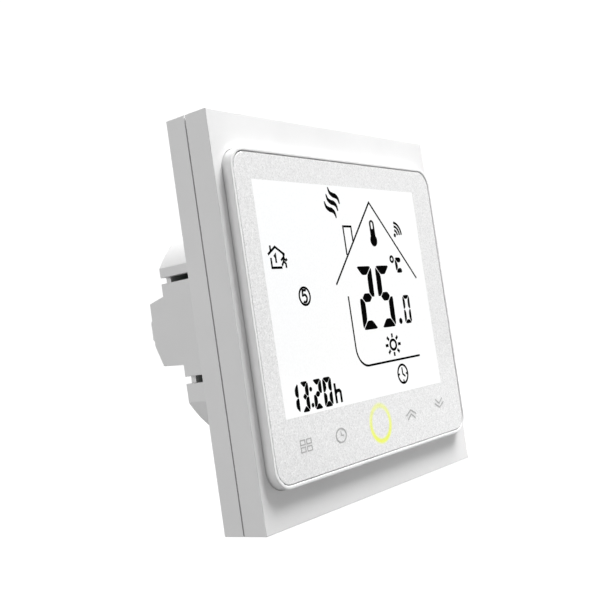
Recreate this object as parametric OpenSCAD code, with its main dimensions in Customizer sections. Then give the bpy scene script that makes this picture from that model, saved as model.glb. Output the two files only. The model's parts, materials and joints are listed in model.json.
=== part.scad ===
// Wall thermostat for a round wall box with screws 60 mm apart.
// A square front with a raised touch display unclips forwards from a base, whose
// bucket sits in the wall box and holds the mains side and its screw terminals.
// X runs to the right of a person facing it, Y into the wall, Z up.
// The origin is midway between the two box screws, on the plane of the wall.

/* [Front] */
// Width and height of the square front
plate_w = 86; // [85:0.5:90]
// Thickness of the front frame
frame_t = 5.7; // [5.5:0.1:6.5]
// Thickness of the base that lies on the wall
base_t = 5.1; // [5:0.1:5.6]
// Gap between the front frame and the base
parting_gap = 0.35; // [0.3:0.05:0.5]
// How far the display stands proud of the frame
panel_rise = 2.2; // [2:0.1:3]

/* [Display] */
// Width of the raised display
panel_w = 80.8; // [80.4:0.1:81]
// Height of the raised display
panel_h = 70.2; // [69.8:0.1:71]
// Corner radius of the raised display
panel_r = 4.8; // [4.5:0.1:6]
// Width of the white rim around the glass
rim_w = 0.7; // [0.6:0.05:0.9]
// Width of the lit window
window_w = 65; // [60:0.5:66]
// Height of the lit window
window_h = 49.8; // [45:0.2:50]

/* [Bucket] */
// Radius of the bucket in the wall box
bucket_r = 28.9; // [28.5:0.1:29.2]
// Distance of each flat side from the middle
flat_x = 23.9; // [23.8:0.1:24.2]
// Depth of the upper part behind the wall plane
upper_y = 27.2; // [27:0.1:28]
// Depth of the lower part behind the wall plane
lower_y = 23.6; // [23.5:0.1:24]
// Depth of the terminal hump behind the wall plane
hump_y = 32; // [31.8:0.1:32.6]
// Height of the ridge on the terminal hump
ridge_h = 1; // [0.8:0.1:1.4]

/* [Wall box screws] */
// Distance between the two wall box screws
box_pitch = 60; // [60:0.5:61]
// Width of each screw slot
slot_w = 4.2; // [4:0.1:4.4]
// Length of each screw slot, end to end
slot_l = 7; // [6:0.5:8]

/* [Terminals] */
// Distance between neighbouring terminals
terminal_pitch = 7.2; // [7.1:0.05:7.2]
// Radius of the terminal screws' thread
thread_r = 1.45; // [1.4:0.05:1.45]

/* [Hidden] */
$fn = 64;
fit = 0.05;
loose = 0.3;
cut = 1;

// Depths of the layers, from the front face of the glass to the back of the base
y_base = -base_t;
y_frame = [y_base - parting_gap - frame_t, y_base - parting_gap];
y_panel = y_frame[0] - panel_rise;
y_glass = [y_panel + 0.1, y_panel + 1.2];
y_ledge = [y_glass[1], y_glass[1] + 1.2];
y_lcd = [y_glass[1] + fit, y_glass[1] + 1.85];
y_guide = [y_lcd[1] + fit, y_lcd[1] + 2.2];
y_tray = [y_ledge[1] + fit, y_guide[1] + 0.85];
y_board = [y_tray[1] + 0.1, y_tray[1] + 1.3];
y_shell_end = y_frame[1] - fit;
y_cover = [y_shell_end + fit, y_shell_end + 1.25];
y_tub = [y_cover[1] + 1.2, y_cover[1] + 2.4];
y_floor = [-2.8, 0];
y_steel = [-1.2, 0];
y_lid = [-0.6, 0.8];
y_power = [18.4, 20];

// The square base and the frame
base_wall = 2.2;
frame_wall = 2;
frame_lip = 1.5;
frame_gap = 0.1;
edge = plate_w / 2;

// The raised display
glass_w = panel_w - 2 * rim_w - 0.4;
glass_h = panel_h - 2 * rim_w - 0.4;
glass_r = panel_r - rim_w;
shell_wall = 1.5;
window_at = [-1.9, 3.6];
lcd_margin = 0.9;
lcd_w = window_w + 2 * lcd_margin;
lcd_h = window_h + 2 * lcd_margin;
tray_wall = 1;
tray_w = lcd_w + 2 * tray_wall + 0.2;
tray_h = lcd_h + 2 * tray_wall + 0.2;
tray_floor = 0.8;
led_bar_w = 2.4;
key_z = -27.2;
ring_at = [0, key_z];
ring_r = [3.6, 4.5];
ring_led_turns = [20, 160, 200, 340];
ring_foot_r = 0.6;
key_x = [-29.2, -16.2, 0, 14, 28.2];
key_hole_r = 3;
spring_r = [2.1, 2.5];
led = [1.6, 0.8, 0.8];
module_screw_at = [[-30, 32.4], [30, 32.4], [-36, -30.5], [36, -30.5]];
module_boss_r = 1.8;
module_screw_r = 0.9;
module_head = [1.6, 0.9];
cover_w = 80.2;
cover_h = 74.2;
tub_half = 17;
tub_wall = 1.2;
hook_x = [-20, 20];
hook_z = 36.2;
hook = [8, 1.2];
hook_nib = 0.5;
nib_t = 0.8;
hook_end = -1.4;

// The plug between the two halves
link_z = -7;
link_half = [5.1, 2.5];
link_pin = 0.32;
link_step = 2.54;
link_pin_x = [-1.5, -0.5, 0.5, 1.5];
link_pin_z = [-0.5, 0.5];
link_pin_end = 4;
header_t = 2.5;
socket_hole = 0.45;
link_socket_y = [-0.9, 7.6];
riser_half = 7;
board_t = 1.6;

// The bucket: its wall, its back panels and the outline of its side
bucket_wall = 1.9;
back_wall = 1.6;
hump_top = [9.6, 8.4];
hump_low = [-2.1, -6.9, -7.3];
hump_corner_y = hump_y - 1.9;
ridge_z = [-1, 4.6];
ridge_r = ridge_h;
vent_upper = [12.55, 14];
vent_lower = [-11.8, -10.1];
vent_start = 6;
back_vent = [1.6, 5];
back_vent_x = [-10, -5, 0, 5, 10];
back_vent_z = 15;
post_at = [[0, 23.4], [0, -23.4]];
post_r = 2.7;
pilot_r = 1.15;
tapping_r = 1.1;
tapping_head = [1.9, 1.2];
cover_screw_l = 7;
boss_at = [[-14, 20.6], [14, 20.6]];
boss_r = 2.6;

// The steel plate and the screws that hold it to the base
steel_half = [36.9, 32.9];
steel_r = 3;
steel_gap = 0.35;
plate_screw_at = [for (x = [-33, 33], z = [-27, 27]) [x, z]];
plate_screw_r = 1.05;
plate_head_r = 2.1;
plate_head_t = 1.1;
plate_boss = [2.6, 1.1];
box_window = [11, 10];

// The terminals: a brass body each, a clamp plate inside it and its screw
terminal_x = [for (i = [0:5]) (i - 2.5) * terminal_pitch];
terminal_z = -3.4;
body_half = 2.8;
body_y = [22.6, 28.3];
body_z = [-5.15, -1.4];
wire_half = 1.6;
wire_y = [23.8, 26.8];
wire_hole_r = 1.9;
wire_mid = 25.3;
clamp_half = 1.4;
clamp_y = [23.9, 24.4];
clamp_z = [-4.9, -1.7];
screw_y = [24.45, 28.4];
screw_head = [2.05, 1.4];
screw_slot = [0.7, 0.6];
access_r = 2.35;
block_half = 21.7;
block_y = [20, 28.4];
block_z = [-5.2, 2.6];
solder_pin_r = 0.5;
solder_z = -2.4;

// The relay: low corner, then the parts inside its case
relay_x = [-19.5, -4.3];
relay_y = [3.2, 18.3];
relay_z = [-2, 17];
relay_wall = 0.8;
relay_base_t = 2;
coil_at = [-12, 7.6];
coil_r = 4.4;
coil_flange_r = 5.1;
coil_y = [7.1, 15.2];
core_r = 1.8;
pole = [3, 0.8];
yoke_x = [-16, -8];
yoke_z = [13.4, 14.8];
pivot = [5.65, 14.8];
armature_y = [4.65, 5.6];
armature_z = [3.2, 14.8];
leaf_x = [-14, -10];
leaf_y = [4.25, 4.65];
leaf_z = [-0.4, 6];
contact_r = 1;
contact_z = 0.8;
fixed_contact_y = 6.1;

// Parts of the power board: each box is an X span, a Y span and a Z span
transformer_x = [3.4, 17.4];
transformer_y = [5.5, 17.9];
transformer_z = [4, 17];
core_t = 3.4;
winding_r = 4.6;
bulk_at = [-13, -13.6];
bulk_r = 5;
bulk_y = [2.4, 18.3];
filter_x = [8.2, 20.4];
filter_y = [7.3, 18.3];
filter_z = [-4.4, 1.6];
varistor_at = [13.5, 13.2];
varistor_r = 5;
varistor_z = [-14, -10];
fuse_at = [16.2, -17.6];
fuse_r = 2;
fuse_x = [-4.5, 4.5];
chips = [[[-3, 1], [-1.6, 4]], [[-19, -15], [-6.8, -3.8]], [[9, 13], [-19.5, -16.5]]];
chip_t = 1.4;

// Parts of the display board
control_x = [-13, -5];
control_z = [2, 10];
control_t = 1;
radio_x = [0, 13];
radio_z = [-3, 14];
radio_board_t = 0.8;
radio_can_t = 1.9;
radio_margin = 1;
sensor_at = [22, -31.6];
sensor_r = 0.8;
sensor_half = 1.3;

// A span reaching the same way to both sides of a middle
function around(middle, half) = [middle - half, middle + half];

// A box given by its spans along X, Y and Z
module block(x, y, z) translate([x[0], y[0], z[0]])
    cube([x[1] - x[0], y[1] - y[0], z[1] - z[0]]);

// A round bar along Y at a place [x, z]
module rod(at, y, r) translate([at[0], y[0], at[1]])
    rotate([-90, 0, 0]) cylinder(h = y[1] - y[0], r = r);

// A round bar along X at a place [y, z]
module rod_x(at, x, r) translate([x[0], at[0], at[1]])
    rotate([0, 90, 0]) cylinder(h = x[1] - x[0], r = r);

// A round bar along Z at a place [x, y]
module rod_z(at, z, r) translate([at[0], at[1], z[0]]) cylinder(h = z[1] - z[0], r = r);

// A cone along Y at a place [x, z], from radius r0 to r1
module cone(at, y, r0, r1) translate([at[0], y[0], at[1]])
    rotate([-90, 0, 0]) cylinder(h = y[1] - y[0], r1 = r0, r2 = r1);

// A flat shape in X and Z, thickened along Y
module plate(y) translate([0, y[1], 0]) rotate([90, 0, 0])
    linear_extrude(height = y[1] - y[0]) children();

// A flat shape in Y and Z, drawn out along X
module across(x) translate([x[0], 0, 0]) rotate([90, 0, 90])
    linear_extrude(height = x[1] - x[0]) children();

// A rectangle with round corners
module rounded(w, h, r) {
    square([w - 2 * r, h], center = true);
    square([w, h - 2 * r], center = true);
    for (x = [-1, 1], z = [-1, 1]) translate([x * (w / 2 - r), z * (h / 2 - r)]) circle(r = r);
}

// A slot with round ends, along X
module slot(length, width) {
    square([length - width, width], center = true);
    for (x = [-1, 1]) translate([x * (length - width) / 2, 0]) circle(d = width);
}

// The bucket's outline: a circle with a flat on each side
module bucket_outline(grow) intersection() {
    circle(r = bucket_r + grow, $fn = 128);
    square([2 * (flat_x + grow), 3 * bucket_r], center = true);
}

// The bucket's outline from the side, moved in by the thickness of the back
module bucket_side(inset) polygon([
    [y_floor[0] - inset, -edge], [y_floor[0] - inset, edge],
    [upper_y - inset, edge], [upper_y - inset, hump_top[0] - inset],
    [hump_y - inset, hump_top[1] - inset], [hump_y - inset, hump_low[0]],
    [hump_corner_y - inset, hump_low[1] + inset], [lower_y - inset, hump_low[2] + inset],
    [lower_y - inset, -edge]]);

// The bucket, solid or as the space inside it
module bucket(inset, wall_inset) intersection() {
    plate([y_floor[0] - inset, hump_y]) bucket_outline(-wall_inset);
    across([-edge, edge]) bucket_side(inset);
}

// The rounded ridge across the back of the terminal hump
module ridge() hull() for (z = [ridge_z[0] + ridge_r, ridge_z[1] - ridge_r],
        x = [-1, 1] * (flat_x - ridge_r)) {
    translate([x, hump_y, z]) sphere(r = ridge_r, $fn = 24);
    rod([x, z], [hump_y - cut, hump_y], ridge_r, $fn = 24);
}

// Moulded base with the bucket behind it
module rear_housing() color("white") {
    difference() {
        union() {
            difference() {
                block([-edge, edge], [y_base, 0], [-edge, edge]);
                block([-1, 1] * (edge - base_wall), [y_base - cut, y_floor[0]],
                    [-1, 1] * (edge - base_wall));
                plate([y_steel[0], cut]) rounded(2 * steel_half[0] + loose,
                    2 * steel_half[1] + loose, steel_r);
            }
            bucket(0, 0);
            for (at = plate_screw_at) rod(at, [y_floor[0] - plate_boss[1], y_steel[0]],
                plate_boss[0]);
        }
        difference() {
            bucket(back_wall, bucket_wall);
            for (at = post_at) rod(at, [y_lid[1], hump_y], post_r);
            for (at = boss_at) rod(at, [y_power[1], hump_y], boss_r);
        }
        for (at = post_at) rod(at, [y_lid[0], y_lid[1] + cover_screw_l + cut], pilot_r);
        for (at = boss_at) rod(at, [y_power[1] - cut, upper_y - back_wall], pilot_r);
        for (at = plate_screw_at) rod(at, [y_base, 0], plate_screw_r + fit);
        for (x = [-1, 1]) translate([x * box_pitch / 2, 0, 0])
            plate([y_base, y_steel[0] + cut]) rounded(box_window[0], box_window[1], 1);
        for (x = hook_x, z = [-1, 1]) block(around(x, hook[0] / 2 + loose), [y_base, cut],
            around(z * (hook_z + hook_nib), hook[1] + hook_nib));
        for (side = [-1, 1], z = [vent_upper, vent_lower])
            block(side > 0 ? [flat_x - bucket_wall, edge] : [-edge, bucket_wall - flat_x],
                [vent_start, hump_y], z);
        for (x = back_vent_x) plate([upper_y - back_wall - cut, upper_y + cut])
            translate([x, back_vent_z]) rotate([0, 0, 90]) slot(back_vent[1], back_vent[0]);
        for (x = terminal_x) {
            rod([x, terminal_z], [hump_corner_y - 3 * cut, hump_y + 2], access_r);
            rod_z([x, wire_mid], [hump_low[2] - cut, body_z[0]], wire_hole_r);
        }
    }
    ridge();
}

// Steel plate that the two wall box screws pull against the wall
module mounting_plate() color("silver") difference() {
    plate(y_steel) difference() {
        rounded(2 * steel_half[0], 2 * steel_half[1], steel_r);
        bucket_outline(steel_gap);
        for (x = [-1, 1]) translate([x * box_pitch / 2, 0]) slot(slot_l, slot_w);
    }
    for (at = plate_screw_at) {
        rod(at, [y_steel[0] - cut, cut], plate_screw_r + fit);
        cone(at, [-plate_head_t, 0], plate_screw_r + fit, plate_head_r + fit);
    }
}

// Countersunk screws through the steel plate into the base
module plate_screws() color("silver") for (at = plate_screw_at) {
    rod(at, [y_floor[0] - plate_boss[1], -plate_head_t], plate_screw_r);
    cone(at, [-plate_head_t, 0], plate_screw_r, plate_head_r);
}

// Inner cover that closes the mains side
module bucket_cover() color("whitesmoke") difference() {
    plate(y_lid) difference() {
        bucket_outline(-bucket_wall - loose);
        translate([0, link_z]) square([2 * link_half[0] + 0.6, 2 * link_half[1] + 0.6], center = true);
        for (x = back_vent_x, z = [-14, 14]) translate([x, z]) rotate([0, 0, 90])
            slot(2 * back_vent[1], back_vent[0]);
    }
    for (at = post_at) rod(at, [y_lid[0] - cut, y_lid[1] + cut], tapping_r + 0.1);
}

// A pan-head tapping screw that points along +Y or, with way = -1, along -Y
module tapping_screw(at, y, length, r, head) {
    rod(at, [y, y + length], r);
    difference() {
        rod(at, [y - head[1], y], head[0]);
        for (turn = [0, 90]) translate([at[0], y - head[1], at[1]]) rotate([0, turn, 0])
            cube([head[0], head[1], head[0] / 4], center = true);
    }
}

// Screws through the inner cover into the posts
module cover_screws() color("silver") for (at = post_at)
    tapping_screw(at, y_lid[0], cover_screw_l, tapping_r, tapping_head);

// Circuit board that carries the mains side
module power_board() color("seagreen") difference() {
    plate(y_power) difference() {
        bucket_outline(-bucket_wall - loose);
        for (at = post_at) translate(at) circle(r = post_r + loose);
        for (at = boss_at) translate(at) circle(r = tapping_r + 0.1);
        for (x = terminal_x) translate([x, solder_z]) circle(r = solder_pin_r + fit);
    }
}

// Screws that hold the power board to its bosses
module board_screws() color("silver") for (at = boss_at)
    tapping_screw(at, y_power[0], 6, tapping_r, tapping_head);

// Small upright board that brings the plug forwards
module riser_board() color("seagreen") block([-riser_half, riser_half],
    [link_socket_y[1], y_power[0]], around(link_z, board_t / 2));

// Place [x, z] of each pin of the plug
function pin_places() = [for (i = link_pin_x, k = link_pin_z)
    [i * link_step, link_z + k * link_step]];

// Socket for the display's pins
module link_socket() color("dimgray") difference() {
    block(around(0, link_half[0]), link_socket_y, around(link_z, link_half[1]));
    for (at = pin_places()) block(around(at[0], socket_hole), [link_socket_y[0] - cut, link_pin_end + cut],
        around(at[1], socket_hole));
}

// Insulating block with a chamber for each terminal
module terminal_block() color("darkslategray") difference() {
    block([-block_half, block_half], block_y, block_z);
    for (x = terminal_x) {
        block(around(x, body_half + fit), [body_y[0], block_y[1] + cut],
            [block_z[0] - cut, body_z[1] + fit]);
        rod([x, solder_z], [block_y[0] - cut, body_y[0] + cut], solder_pin_r + fit);
    }
}

// Brass terminal bodies with their solder pins
module terminal_bodies() color("gold") for (x = terminal_x) {
    difference() {
        block(around(x, body_half), body_y, body_z);
        block(around(x, wire_half), wire_y, [body_z[0] - cut, body_z[1] + cut]);
        rod([x, terminal_z], [wire_y[1] - cut, body_y[1] + cut], thread_r + fit);
    }
    rod([x, solder_z], [y_power[0], body_y[0]], solder_pin_r);
}

// Screw of one terminal, driven from behind
module terminal_screw(n) color("silver") difference() {
    union() {
        rod([terminal_x[n - 1], terminal_z], screw_y, thread_r);
        rod([terminal_x[n - 1], terminal_z], [screw_y[1], screw_y[1] + screw_head[1]], screw_head[0]);
    }
    translate([terminal_x[n - 1], screw_y[1] + screw_head[1], terminal_z])
        cube([2 * screw_head[0] + cut, 2 * screw_slot[1], screw_slot[0]], center = true);
}

// Plate that a terminal's screw presses onto the wire
module clamp_plate(n) color("goldenrod")
    block(around(terminal_x[n - 1], clamp_half), clamp_y, clamp_z);

// Relay: base, dust case, coil, iron circuit, fixed contact and rocking armature
module relay_base() color("darkslategray")
    block(relay_x, [relay_y[1] - relay_base_t, relay_y[1]], relay_z);

module relay_case() color("royalblue") difference() {
    block(relay_x, [relay_y[0], relay_y[1] - relay_base_t], relay_z);
    block([relay_x[0] + relay_wall, relay_x[1] - relay_wall], [relay_y[0] + relay_wall, relay_y[1]],
        [relay_z[0] + relay_wall, relay_z[1] - relay_wall]);
}

module relay_coil() color("chocolate") difference() {
    union() {
        rod(coil_at, coil_y, coil_r);
        rod(coil_at, [coil_y[0], coil_y[0] + 0.8], coil_flange_r);
        rod(coil_at, [coil_y[1] - 0.8, coil_y[1]], coil_flange_r);
    }
    rod(coil_at, [coil_y[0] - cut, coil_y[1] + cut], core_r + fit);
}

module relay_yoke() color("silver") {
    rod(coil_at, [coil_y[0] - fit, coil_y[1] + fit], core_r);
    rod(coil_at, [coil_y[0] - fit - pole[1], coil_y[0] - fit], pole[0]);
    block(yoke_x, [coil_y[1] + fit, relay_y[1] - relay_base_t], [coil_at[1] - core_r, yoke_z[1]]);
    block(yoke_x, [pivot[0] + fit, relay_y[1] - relay_base_t], yoke_z);
}

module relay_contacts() color("gold") {
    block(leaf_x, [fixed_contact_y, relay_y[1] - relay_base_t], [relay_z[0] + relay_wall + fit, leaf_z[0] - 0.2]);
    block(leaf_x, [fixed_contact_y, fixed_contact_y + 0.5], [relay_z[0] + relay_wall + fit, contact_z + contact_r]);
}

module relay_armature() color("lightgray") {
    block(yoke_x, armature_y, armature_z);
    block(leaf_x, leaf_y, leaf_z);
    rod([(leaf_x[0] + leaf_x[1]) / 2, contact_z], [leaf_y[0], leaf_y[1] + 0.7], contact_r);
}

// Small transformer of the power supply
module transformer_core() color("dimgray") difference() {
    block(transformer_x, transformer_y, transformer_z);
    block([transformer_x[0] - cut, transformer_x[1] + cut],
        [transformer_y[0] + core_t, transformer_y[1] - core_t],
        [transformer_z[0] + core_t / 2, transformer_z[1] - core_t / 2]);
}

module transformer_winding() color("gold") {
    middle = (transformer_z[0] + transformer_z[1]) / 2;
    depth = (transformer_y[1] - transformer_y[0]) / 2 - core_t - fit;
    block([transformer_x[0] + cut, transformer_x[1] - cut],
        around((transformer_y[0] + transformer_y[1]) / 2, depth),
        around(middle, winding_r));
}

module bulk_capacitor() color("midnightblue") rod(bulk_at, bulk_y, bulk_r);

module filter_capacitor() color("gold") block(filter_x, filter_y, filter_z);

module varistor() color("steelblue") {
    rod_z(varistor_at, varistor_z, varistor_r);
    for (x = [-1, 1]) rod([varistor_at[0] + x * varistor_r / 2, (varistor_z[0] + varistor_z[1]) / 2],
        [varistor_at[1], y_power[0]], 0.4);
}

module fuse() color("saddlebrown") rod_x(fuse_at, fuse_x, fuse_r);

module power_chips() color("black") for (chip = chips)
    block(chip[0], [y_power[0] - chip_t, y_power[0]], chip[1]);

// Square frame around the raised display
module front_frame() color("white") {
    inner_w = panel_w + 2 * frame_gap;
    inner_h = panel_h + 2 * frame_gap;
    difference() {
        block([-edge, edge], y_frame, [-edge, edge]);
        plate([y_frame[0] - cut, y_frame[1] + cut]) rounded(inner_w, inner_h, panel_r + frame_gap);
        for (side = [-1, 1]) block([-1, 1] * (edge - frame_wall), [y_frame[0] + frame_wall, y_frame[1] + cut],
            side > 0 ? [inner_h / 2 + frame_lip, edge - frame_wall]
                : [frame_wall - edge, -inner_h / 2 - frame_lip]);
    }
}

// Raised white shell of the display, with a ledge that carries the glass
module panel_shell() color("white") difference() {
    plate([y_panel, y_shell_end]) rounded(panel_w, panel_h, panel_r);
    plate([y_panel - cut, y_ledge[0]]) rounded(glass_w + loose, glass_h + loose, glass_r);
    difference() {
        plate([y_ledge[1], y_shell_end + cut]) rounded(panel_w - 2 * shell_wall, panel_h - 2 * shell_wall,
            panel_r - shell_wall);
        for (at = module_screw_at) rod(at, [y_ledge[1], y_board[0] - fit], module_boss_r);
    }
    plate([y_ledge[0] - cut, y_ledge[1] + cut]) translate(window_at)
        square([lcd_w + loose, lcd_h + loose], center = true);
    for (x = key_x) rod([x, key_z], [y_ledge[0] - cut, y_ledge[1] + cut],
        x == ring_at[0] ? ring_r[1] + fit : key_hole_r);
    for (at = module_screw_at) rod(at, [y_ledge[1] + 0.4, y_shell_end], module_screw_r + fit);
}

// Printed touch glass
module touch_glass() color("gainsboro") plate(y_glass) rounded(glass_w, glass_h, glass_r);

// Liquid crystal cell, bonded behind the glass
module lcd_panel() color("honeydew") plate(y_lcd) translate(window_at)
    square([lcd_w, lcd_h], center = true);

// Clear plate that spreads the light behind the cell
module light_guide() color("aliceblue") plate(y_guide)
    translate(window_at - [led_bar_w / 2, 0]) square([lcd_w - led_bar_w, lcd_h], center = true);

// White tray that holds the light plate behind the cell
module lcd_tray() color("white") difference() {
    plate(y_tray) translate(window_at) square([tray_w, tray_h], center = true);
    plate([y_tray[0] - cut, y_tray[1] - tray_floor]) translate(window_at)
        square([lcd_w + 0.2, lcd_h + 0.2], center = true);
}

// Row of lights along the edge of the light plate
module led_bar() color("lemonchiffon") {
    low = window_at[0] + lcd_w / 2 - led_bar_w + fit;
    block([low + led[0] / 2, low + led_bar_w - fit], y_guide, around(window_at[1], lcd_h / 2 - cut));
    for (z = [-20:10:20]) block([low, low + led[0] / 2], y_guide + [0.4, -0.4],
        around(window_at[1] + z, led[0]));
}

// Clear ring that lights up around the middle key
module ring_light_guide() color("greenyellow") {
    plate([y_ledge[0] + fit, y_ledge[1]]) translate(ring_at) difference() {
        circle(r = ring_r[1]);
        circle(r = ring_r[0]);
    }
    for (at = ring_led_places()) rod(at, [y_ledge[1], y_board[0] - led[2] - fit], ring_foot_r);
}

// Place [x, z] of each light under the ring
function ring_led_places() = [for (turn = ring_led_turns)
    ring_at + (ring_r[0] + ring_r[1]) / 2 * [cos(turn), sin(turn)]];

module ring_leds() color("yellow") for (at = ring_led_places())
    block(around(at[0], led[1] / 2), [y_board[0] - led[2], y_board[0]], around(at[1], led[1] / 2));

// Springs that join the touch keys to the board
module touch_springs() color("silver") for (x = key_x) difference() {
    rod([x, key_z], [y_glass[1] + fit, y_board[0]], spring_r[1]);
    rod([x, key_z], [y_glass[1], y_board[0] + cut], spring_r[0]);
}

// Circuit board of the display
module display_board() color("darkgreen") plate(y_board) difference() {
    rounded(panel_w - 2 * shell_wall - 0.8, panel_h - 2 * shell_wall - 0.8, panel_r - shell_wall);
    for (at = module_screw_at) translate(at) circle(r = module_screw_r + 0.1);
}

module control_chip() color("black") block(control_x, [y_board[1], y_board[1] + control_t], control_z);

module radio_module() color("silver") {
    block(radio_x, [y_board[1], y_board[1] + radio_board_t], radio_z);
    block(radio_x + [1, -1] * radio_margin, [y_board[1], y_board[1] + radio_board_t + radio_can_t],
        radio_z + [radio_margin, -4 * radio_margin]);
}

module temperature_sensor() color("black")
    rod_x([y_board[0] - sensor_r, sensor_at[1]], around(sensor_at[0], sensor_half), sensor_r);

// Pins that plug into the socket on the mains side
module pin_header() color("dimgray") difference() {
    block(around(0, link_half[0]), [y_board[1], y_board[1] + header_t], around(link_z, link_half[1]));
    for (at = pin_places()) block(around(at[0], link_pin), [y_board[1] - cut, y_board[1] + header_t + cut],
        around(at[1], link_pin));
}

module header_pins() color("gold") for (at = pin_places())
    block(around(at[0], link_pin), [y_board[1], link_pin_end], around(at[1], link_pin));

// Back cover of the display, with its tub and snap hooks
module module_cover() color("white") difference() {
    union() {
        block([-1, 1] * cover_w / 2, y_cover, [-1, 1] * cover_h / 2);
        block([-1, 1] * tub_half, [y_cover[0], y_tub[1]], [-1, 1] * tub_half);
        for (x = hook_x, z = [-1, 1]) {
            block(around(x, hook[0] / 2), [y_cover[0], hook_end], around(z * hook_z, hook[1] / 2));
            block(around(x, hook[0] / 2), [hook_end - nib_t, hook_end],
                around(z * (hook_z + hook_nib / 2), (hook[1] + hook_nib) / 2));
        }
    }
    block([-1, 1] * (tub_half - tub_wall), [y_cover[0] - cut, y_tub[0]], [-1, 1] * (tub_half - tub_wall));
    block(around(0, link_half[0] + loose), [y_cover[0], y_tub[1] + cut], around(link_z, link_half[1] + loose));
    for (at = module_screw_at) rod(at, [y_cover[0] - cut, y_cover[1] + cut], module_screw_r + 0.1);
}

// Screws through the back cover into the shell
module module_screws() color("silver") for (at = module_screw_at) {
    rod(at, [y_ledge[1] + 0.6, y_cover[1]], module_screw_r);
    rod(at, [y_cover[1], y_cover[1] + module_head[1]], module_head[0]);
}

rear_housing();
mounting_plate();
plate_screws();
bucket_cover();
cover_screws();
power_board();
board_screws();
riser_board();
link_socket();
terminal_block();
terminal_bodies();
terminal_screw(1);  // terminal_screw_1
terminal_screw(2);  // terminal_screw_2
terminal_screw(3);  // terminal_screw_3
terminal_screw(4);  // terminal_screw_4
terminal_screw(5);  // terminal_screw_5
terminal_screw(6);  // terminal_screw_6
clamp_plate(1);  // clamp_plate_1
clamp_plate(2);  // clamp_plate_2
clamp_plate(3);  // clamp_plate_3
clamp_plate(4);  // clamp_plate_4
clamp_plate(5);  // clamp_plate_5
clamp_plate(6);  // clamp_plate_6
relay_base();
relay_case();
relay_coil();
relay_yoke();
relay_contacts();
relay_armature();
transformer_core();
transformer_winding();
bulk_capacitor();
filter_capacitor();
varistor();
fuse();
power_chips();
front_frame();
panel_shell();
touch_glass();
lcd_panel();
light_guide();
lcd_tray();
led_bar();
ring_light_guide();
ring_leds();
touch_springs();
display_board();
control_chip();
radio_module();
temperature_sensor();
pin_header();
header_pins();
module_cover();
module_screws();
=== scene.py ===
"""Looks of the wall thermostat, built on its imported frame.

The moulded, stamped and wound parts get rounded edges here. The screws' slots, the
crystal cell, the key springs and all the print are modelled here, and every part gets
its finish. Lengths are in millimetres until mm() turns them to metres.
"""

import json
import math

import bmesh
import bpy
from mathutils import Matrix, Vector

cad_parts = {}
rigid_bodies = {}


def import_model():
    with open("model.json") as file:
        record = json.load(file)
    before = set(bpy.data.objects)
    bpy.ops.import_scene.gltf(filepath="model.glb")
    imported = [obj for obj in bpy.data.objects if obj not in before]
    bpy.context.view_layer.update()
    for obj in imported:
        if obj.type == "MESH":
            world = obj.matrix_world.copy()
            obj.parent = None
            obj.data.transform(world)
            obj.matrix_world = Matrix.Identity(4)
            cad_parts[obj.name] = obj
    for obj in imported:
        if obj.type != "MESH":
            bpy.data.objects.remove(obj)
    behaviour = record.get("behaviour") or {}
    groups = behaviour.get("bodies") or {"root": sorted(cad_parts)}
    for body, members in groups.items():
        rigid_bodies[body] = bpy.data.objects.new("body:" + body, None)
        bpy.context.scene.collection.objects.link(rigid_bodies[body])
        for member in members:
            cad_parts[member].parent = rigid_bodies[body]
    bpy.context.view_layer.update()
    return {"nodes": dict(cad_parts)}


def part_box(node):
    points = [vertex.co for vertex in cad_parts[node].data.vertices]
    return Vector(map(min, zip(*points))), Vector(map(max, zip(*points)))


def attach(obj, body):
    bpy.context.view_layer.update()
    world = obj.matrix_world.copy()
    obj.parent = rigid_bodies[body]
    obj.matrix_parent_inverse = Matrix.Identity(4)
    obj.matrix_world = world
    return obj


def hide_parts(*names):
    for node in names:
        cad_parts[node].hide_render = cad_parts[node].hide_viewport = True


# The first objects of a new file aren't part of the thermostat or of its size
for leftover in list(bpy.data.objects):
    bpy.data.objects.remove(leftover)

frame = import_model()
nodes = frame["nodes"]

# The front face of the glass along Y, and how thick the print and the crystal shapes are
GLASS_FRONT = -13.25
INK = 0.02
# The lit window's spans along X and Z
WINDOW = ((-34.4, 30.6), (-21.3, 28.5))
# The touch keys in a row: their middles along X, and the row's height. The third has
# the lit ring.
KEYS = (-29.2, -16.2, 0, 14, 28.2)
KEY_ROW = -27.2
TERMINALS = range(1, 7)
TERMINAL_PITCH = 7.2
# Edges that turn by more than the first are rounded off; skin that turns by less than
# the second is shaded smooth
SHARP_TURN = math.radians(32)
SMOOTH_TURN = math.radians(38)


def mm(*lengths):
    """Millimetres to metres, one length or a place."""
    metres = [0.001 * length for length in lengths]
    return metres[0] if len(metres) == 1 else Vector(metres)


def leave_all():
    bpy.ops.object.select_all(action="DESELECT")


def take(piece):
    """Selects one piece alone and makes it the active one."""
    leave_all()
    piece.select_set(True)
    bpy.context.view_layer.objects.active = piece
    return piece


def settle(piece):
    """Puts the piece's place, turn and size into its mesh."""
    take(piece)
    bpy.ops.object.transform_apply(location=True, rotation=True, scale=True)
    return piece


def block(name, x, y, z):
    """A block given by its spans along X, Y and Z."""
    leave_all()
    middle = [(span[0] + span[1]) / 2 for span in (x, y, z)]
    bpy.ops.mesh.primitive_cube_add(size=1, location=mm(*middle))
    piece = bpy.context.object
    piece.name = name
    piece.scale = mm(x[1] - x[0], y[1] - y[0], z[1] - z[0])
    return settle(piece)


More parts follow.
